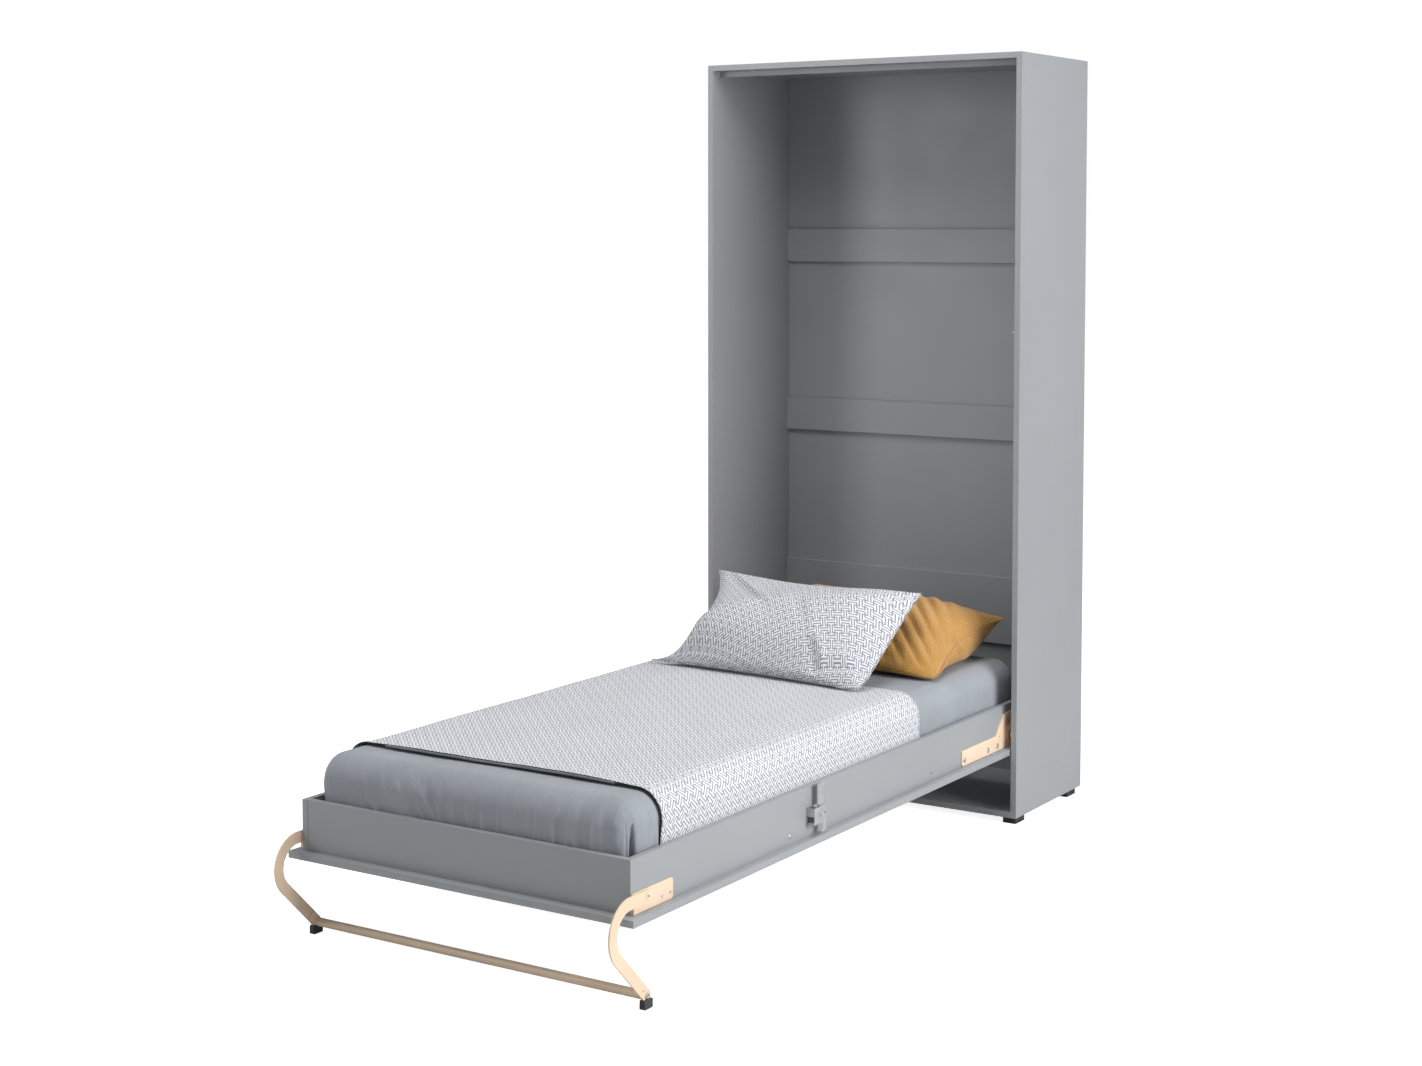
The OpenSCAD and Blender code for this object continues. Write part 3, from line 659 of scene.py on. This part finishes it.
def simulate(obj, cut, pins, pressure, reach):
    """Swells and wrinkles the sewn cloth from the shape it has; no point moves further than reach."""
    start = np.array([v.co for v in obj.data.vertices])
    obj.shape_key_add(name="Basis")
    key = obj.shape_key_add(name="cut")
    key.data.foreach_set("co", np.asarray(cut, np.float32).ravel())
    group = obj.vertex_groups.new(name="pins")
    group.add(pins, 1.0, "REPLACE")
    mod = obj.modifiers.new("cloth", "CLOTH")
    s = mod.settings
    s.quality = 6
    s.mass = 0.06
    s.tension_stiffness = s.compression_stiffness = 20
    s.shear_stiffness = 8
    s.bending_stiffness = 0.12
    s.tension_damping = s.compression_damping = s.shear_damping = 5
    s.bending_damping = 0.3
    s.use_pressure = True
    s.uniform_pressure_force = pressure
    s.rest_shape_key = key
    s.vertex_group_mass = "pins"
    s.effector_weights.gravity = 0.0
    mod.collision_settings.distance_min = 0.003
    mod.collision_settings.use_self_collision = False
    mod.point_cache.frame_start, mod.point_cache.frame_end = 1, FRAMES
    for f in range(1, FRAMES + 1):
        SCENE.frame_set(f)
    settled = obj.evaluated_get(bpy.context.evaluated_depsgraph_get())
    moved = np.array([v.co for v in settled.data.vertices]) - start
    obj.modifiers.remove(mod)
    obj.shape_key_clear()
    obj.vertex_groups.clear()
    SCENE.frame_set(1)
    size = np.linalg.norm(moved, axis=1)[:, None]
    return start + moved * np.minimum(1, reach / np.maximum(size, 1e-9))


def slab(half, y0, y1, z):
    """One level face as collision surface: its vertices and faces."""
    return [(-half, y0, z), (half, y0, z), (half, y1, z), (-half, y1, z)], [(0, 1, 2, 3)]


def collider(name, verts, faces):
    """A hidden obstacle for the cloth, taken away when the pillows are done."""
    mesh = bpy.data.meshes.new(name)
    mesh.from_pydata([tuple(map(float, v)) for v in verts], [], faces)
    obj = bpy.data.objects.new(name, mesh)
    SCENE.collection.objects.link(obj)
    obj.modifiers.new("collision", "COLLISION")
    obj.collision.thickness_outer = 0.002
    obj.collision.cloth_friction = 20
    return obj


def crest(v, ridge, upper):
    """Height over the width of a pillow; upper is how round it falls beyond its ridge."""
    below = 1 - (np.abs(v - ridge) / ridge) ** 1.7
    beyond = 1 - (np.abs(v - ridge) / (1 - ridge)) ** upper
    return np.where(v < ridge, below, beyond)


def fold(x, y, start, end, width, depth):
    """A fold between two points of the flat cloth: a valley with a low ridge on its left."""
    a, b = np.array(start), np.array(end)
    run = b - a
    length = np.linalg.norm(run)
    along = ((x - a[0]) * run[0] + (y - a[1]) * run[1]) / length
    off = ((x - a[0]) * run[1] - (y - a[1]) * run[0]) / length
    inside = np.clip(np.sin(np.pi * np.clip(along / length, 0, 1)), 0, 1) ** 0.6
    bank = 0.7 * np.exp(-((off + 1.6 * width) / width) ** 2)
    return inside * depth * (bank - np.exp(-(off / width) ** 2))


def drawn_cloth(u, v):
    """Diagonal puckers of the plain pillow that run into its right foot corner."""
    x, y = FOLDS_ACROSS * u, OCHRE_DEEP * v
    q = (x + y) / math.sqrt(2)
    wave = 1 - (0.5 + 0.5 * np.cos(2 * np.pi * (q + 0.06 * (x - y) ** 2) / 0.045)) ** 2.2
    reach = np.clip((u - 0.50) / 0.22, 0, 1) * np.clip((1.0 - u) / 0.10, 0, 1)
    reach = reach * np.clip(v / 0.12, 0, 1) * np.clip((0.92 - v) / 0.25, 0, 1)
    left = fold(x, y, (0.05, 0.42), (0.22, 0.22), 0.012, 0.006)
    left = left + fold(x, y, (0.04, 0.05), (0.2, 0.16), 0.012, 0.006)
    return 0.015 * wave * reach + left


def patterned_folds(u, v):
    """The folds of the patterned pillow: a dent over a corner, soft folds, the crest and the end hem."""
    x, y = FOLDS_ACROSS * u, PATTERNED_DEEP * v
    dent = fold(x, y, (0.465, 0.13), (0.54, 0.02), 0.015, 0.011)
    dent = dent + fold(x, y, (0.50, 0.035), (0.69, 0.08), 0.016, 0.008)
    soft = fold(x, y, (0.03, 0.43), (0.28, 0.20), 0.014, 0.009)
    soft = soft + fold(x, y, (0.36, 0.30), (0.47, 0.10), 0.02, 0.003)
    crest_line = fold(x, y, (0.03, 0.12), (0.57, 0.385), 0.011, -0.008)
    hem = -0.0045 * np.exp(-((x - 0.664) / 0.006) ** 2)
    return dent + soft + crest_line + hem


def make_pillow(name, slot, node, corners, cut, pulls, swell, ends, ridge, spread, reach,
                weave_turn, folds):
    """A sewn pillow hung between its corners (foot left, foot right, head right, head left).

    pulls: how far each edge (foot, right, head, left) is drawn in.
    swell: the height of the upper and the lower panel.
    ends: the share of the width over which that height falls off at the left and the right end.
    ridge: where the upper panel is fullest at either end, and how round it falls beyond that.
    spread: how far the lower panel stands out past the side seams.
    reach: how far the cloth may move when it is filled.
    weave_turn: the angle of the weave at the left and the right end.
    """
    uv, faces, sides, seam = pillow_grid(COLS, ROWS)
    c = np.array(corners, float)
    u, v = uv[:, :1], uv[:, 1:]
    across, along = c[1] - c[0], c[3] - c[0]
    normal = np.cross(across, along)
    normal /= np.linalg.norm(normal)
    across, along = across / np.linalg.norm(across), along / np.linalg.norm(along)
    flat = (1 - u) * (1 - v) * c[0] + u * (1 - v) * c[1] + u * v * c[2] + (1 - u) * v * c[3]
    bow_v, bow_u = np.sin(np.pi * v ** 1.15), np.sin(np.pi * u)
    flat = flat + across * ((1 - u) * pulls[3] * np.sin(np.pi * v ** 0.5) - u * pulls[1] * bow_v)
    flat = flat + along * bow_u * ((1 - v) * pulls[0] - v * pulls[2])
    middle = c.mean(0)
    for corner in c[:2]:
        near = np.linalg.norm(flat - corner, axis=1)[:, None]
        inward = (middle - corner) / np.linalg.norm(middle - corner)
        flat = flat + inward * BLUNT * np.exp(-(near / BLUNT_OVER) ** 2)
    ends = (1 - np.exp(-u / ends[0])) * (1 - np.exp(-(1 - u) / ends[1]))
    upper = swell[0] * ends * crest(v, ridge[0] + (ridge[1] - ridge[0]) * u, ridge[2]) + folds(u, v)
    lower = swell[1] * ends * (1 - np.abs(2 * v - 1) ** 3) ** 0.6
    side = sides[:, None]
    stand_out = np.exp(-((u - 0.93) / 0.055) ** 2) - np.exp(-((u - 0.07) / 0.055) ** 2)
    flat = flat + across * np.where(side < 0, spread * bow_v * stand_out, 0)
    start = flat + normal * np.where(side > 0, upper, np.where(side < 0, -lower, 0))
    floor = TOP + np.where(sides > 0, CLEAR_UPPER, CLEAR_LOWER)
    start[:, 2] = np.maximum(start[:, 2], floor)
    rest = middle + (u - 0.5) * cut[0] * across + (v - 0.5) * cut[1] * along + normal * (side * 0.002)
    turn = np.radians(weave_turn[0] + (weave_turn[1] - weave_turn[0]) * uv[:, 0])
    x, y = (uv[:, 0] - 0.5) * cut[0], (uv[:, 1] - 0.5) * cut[1]
    woven = np.stack([x * np.cos(turn) + y * np.sin(turn), y * np.cos(turn) - x * np.sin(turn)], 1)
    obj = make_object(name, start, faces, slot, woven)
    pins = [0, COLS - 1, COLS * (ROWS - 1), COLS * ROWS - 1]
    points = simulate(obj, rest, pins, PRESSURE, reach)
    points[:, 2] = np.maximum(points[:, 2], floor)
    obj.data.vertices.foreach_set("co", points.astype(np.float32).ravel())
    obj.data.update()
    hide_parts(node)
    return obj, points, seam


def seam_cord(name, points, seam, radius, slot):
    """The thin corded seam round a pillow."""
    line = resampled(points[seam], 0.004, closed=True)
    verts, faces, uvs = rope(line, radius, closed=True)
    cord = make_object(name, verts, faces, slot, uvs)
    return cord


def finish_pillow(obj, seam):
    """Smooth the settled cloth once, and let both pieces ride together with the bed."""
    sub = obj.modifiers.new("smooth", "SUBSURF")
    sub.levels = sub.render_levels = 1
    for piece in (obj, seam):
        bpy.context.view_layer.update()
        dg = bpy.context.evaluated_depsgraph_get()
        mesh = bpy.data.meshes.new_from_object(piece.evaluated_get(dg), depsgraph=dg)
        piece.modifiers.clear()
        piece.data = mesh
        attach(piece, "bed")
        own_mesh(piece)


def make_pillows():
    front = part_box("side_panel_left")[0][1]

    def at(x, y, z):
        return (x / 1000, front + y / 1000, TOP + z / 1000)

    deck = collider("deck", *slab(HI[0] + 0.1, LO[1] - 0.1, HI[1] + 0.05, TOP + 0.001))
    ochre, points, seam = make_pillow(
        "pillow_ochre_cotton", "pillow_cotton", "pillow_ochre",
        [at(-275, -300, 10), at(432, -319, 8), at(425, 138, 115), at(-275, 130, 140)],
        cut=(0.80, 0.56), pulls=(0.010, 0.058, 0.020, 0.045), swell=(0.108, 0.115), ends=(0.07, 0.07),
        ridge=(0.55, 0.55, 2.2), spread=0.05, reach=0.022, weave_turn=(4, 4), folds=drawn_cloth)
    cord = seam_cord("pillow_ochre_seam", points, seam, 0.0008, "pillow_cotton")
    pad = collider("pad", points, [tuple(p.vertices) for p in ochre.data.polygons])

    patterned, points, seam = make_pillow(
        "pillow_patterned_cloth", "pillow_weave", "pillow_patterned",
        [at(-400, -524, 9), at(329, -562, 8), at(322, -198, 226), at(-375, -168, 231)],
        cut=(0.80, 0.50), pulls=(0.002, 0.0, 0.028, 0.118), swell=(0.104, 0.055), ends=(0.035, 0.12),
        ridge=(0.21, 0.81, 1.1), spread=0.0, reach=0.012, weave_turn=(44, 16), folds=patterned_folds)
    edge = seam_cord("pillow_patterned_seam", points, seam, 0.0011, "pillow_weave")
    for obj in (deck, pad):
        bpy.data.objects.remove(obj)
    finish_pillow(ochre, cord)
    finish_pillow(patterned, edge)


# -------------------------------------------------------------------- stage

FLOOR_HALF = 30.0
FLOOR_DROP = 0.0006
FLOOR_GLOW = 0.88
WORLD_LIGHT = 0.21
CAMERA_AT = (3.2143, -5.0307, 1.7137)
CAMERA_AZIMUTH, CAMERA_PITCH = 32.842, 3.487
CAMERA_LENS, CAMERA_SHIFT = 56.567, -0.12


def area_light(name, place, target, size, watts):
    data = bpy.data.lights.new(name, "AREA")
    data.shape = "RECTANGLE"
    data.size, data.size_y = size
    data.energy = watts
    light = bpy.data.objects.new(name, data)
    SCENE.collection.objects.link(light)
    light.location = place
    light.rotation_euler = (Vector(target) - Vector(place)).to_track_quat("-Z", "Y").to_euler()


def floor_paint():
    """Pale floor that the camera sees nearly white, with only a trace of the shadows on it."""
    floor = speckled("floor_paint", "DADADA", "DEDEDE", 1.0, 60, 0.0002, (0.7, 0.8), 0.1)
    tree = floor.node_tree
    bsdf = tree.nodes["Principled BSDF"]
    path = tree.nodes.new("ShaderNodeLightPath")
    glow = tree.nodes.new("ShaderNodeMath")
    glow.operation = "MULTIPLY"
    glow.inputs[1].default_value = FLOOR_GLOW
    tree.links.new(path.outputs["Is Camera Ray"], glow.inputs[0])
    bsdf.inputs["Emission Color"].default_value = (1, 1, 1, 1)
    tree.links.new(glow.outputs[0], bsdf.inputs["Emission Strength"])
    return floor


def make_stage():
    """A white floor and soft light that comes mostly from the latch side."""
    mesh = bpy.data.meshes.new("floor")
    w = FLOOR_HALF
    mesh.from_pydata([(-w, -w, 0), (w, -w, 0), (w, w, 0), (-w, w, 0)], [], [(0, 1, 2, 3)])
    floor = bpy.data.objects.new("floor", mesh)
    SCENE.collection.objects.link(floor)
    mesh.materials.append(floor_paint())
    floor.location.z = -FLOOR_DROP

    world = bpy.data.worlds.new("studio")
    SCENE.world = world
    world.use_nodes = True
    tree = world.node_tree
    lit = tree.nodes["Background"]
    lit.inputs[0].default_value = (1, 1, 1, 1)
    lit.inputs[1].default_value = WORLD_LIGHT
    seen = tree.nodes.new("ShaderNodeBackground")
    seen.inputs[0].default_value = (1, 1, 1, 1)
    seen.inputs[1].default_value = 1.0
    path = tree.nodes.new("ShaderNodeLightPath")
    mixed = tree.nodes.new("ShaderNodeMixShader")
    tree.links.new(path.outputs["Is Camera Ray"], mixed.inputs[0])
    tree.links.new(lit.outputs[0], mixed.inputs[1])
    tree.links.new(seen.outputs[0], mixed.inputs[2])
    tree.links.new(mixed.outputs[0], tree.nodes["World Output"].inputs[0])

    area_light("key", (5.2, 0.1, 2.25), (0, 0.1, 1.2), (3.4, 3.3), 308)
    area_light("side", (-2.6, -3.1, 2.0), (0, 1.2, 1.2), (1.2, 2.4), 42)
    area_light("above", (0.4, -1.0, 4.8), (0, -0.4, 0.3), (2.8, 3.6), 152)
    SCENE.view_settings.view_transform = "Standard"


def make_camera():
    data = bpy.data.cameras.new("camera")
    data.sensor_width = 36.0
    data.lens = CAMERA_LENS
    data.shift_y = CAMERA_SHIFT
    data.clip_end = 100
    camera = bpy.data.objects.new("camera", data)
    SCENE.collection.objects.link(camera)
    azimuth, pitch = math.radians(CAMERA_AZIMUTH), math.radians(CAMERA_PITCH)
    level = math.cos(pitch)
    look = Vector((-math.sin(azimuth) * level, math.cos(azimuth) * level, -math.sin(pitch)))
    camera.location = CAMERA_AT
    camera.rotation_euler = look.to_track_quat("-Z", "Y").to_euler()
    SCENE.camera = camera


make_camera()
make_stage()
dress_cad_nodes()
make_mattress()
make_coverlet()
make_pillows()
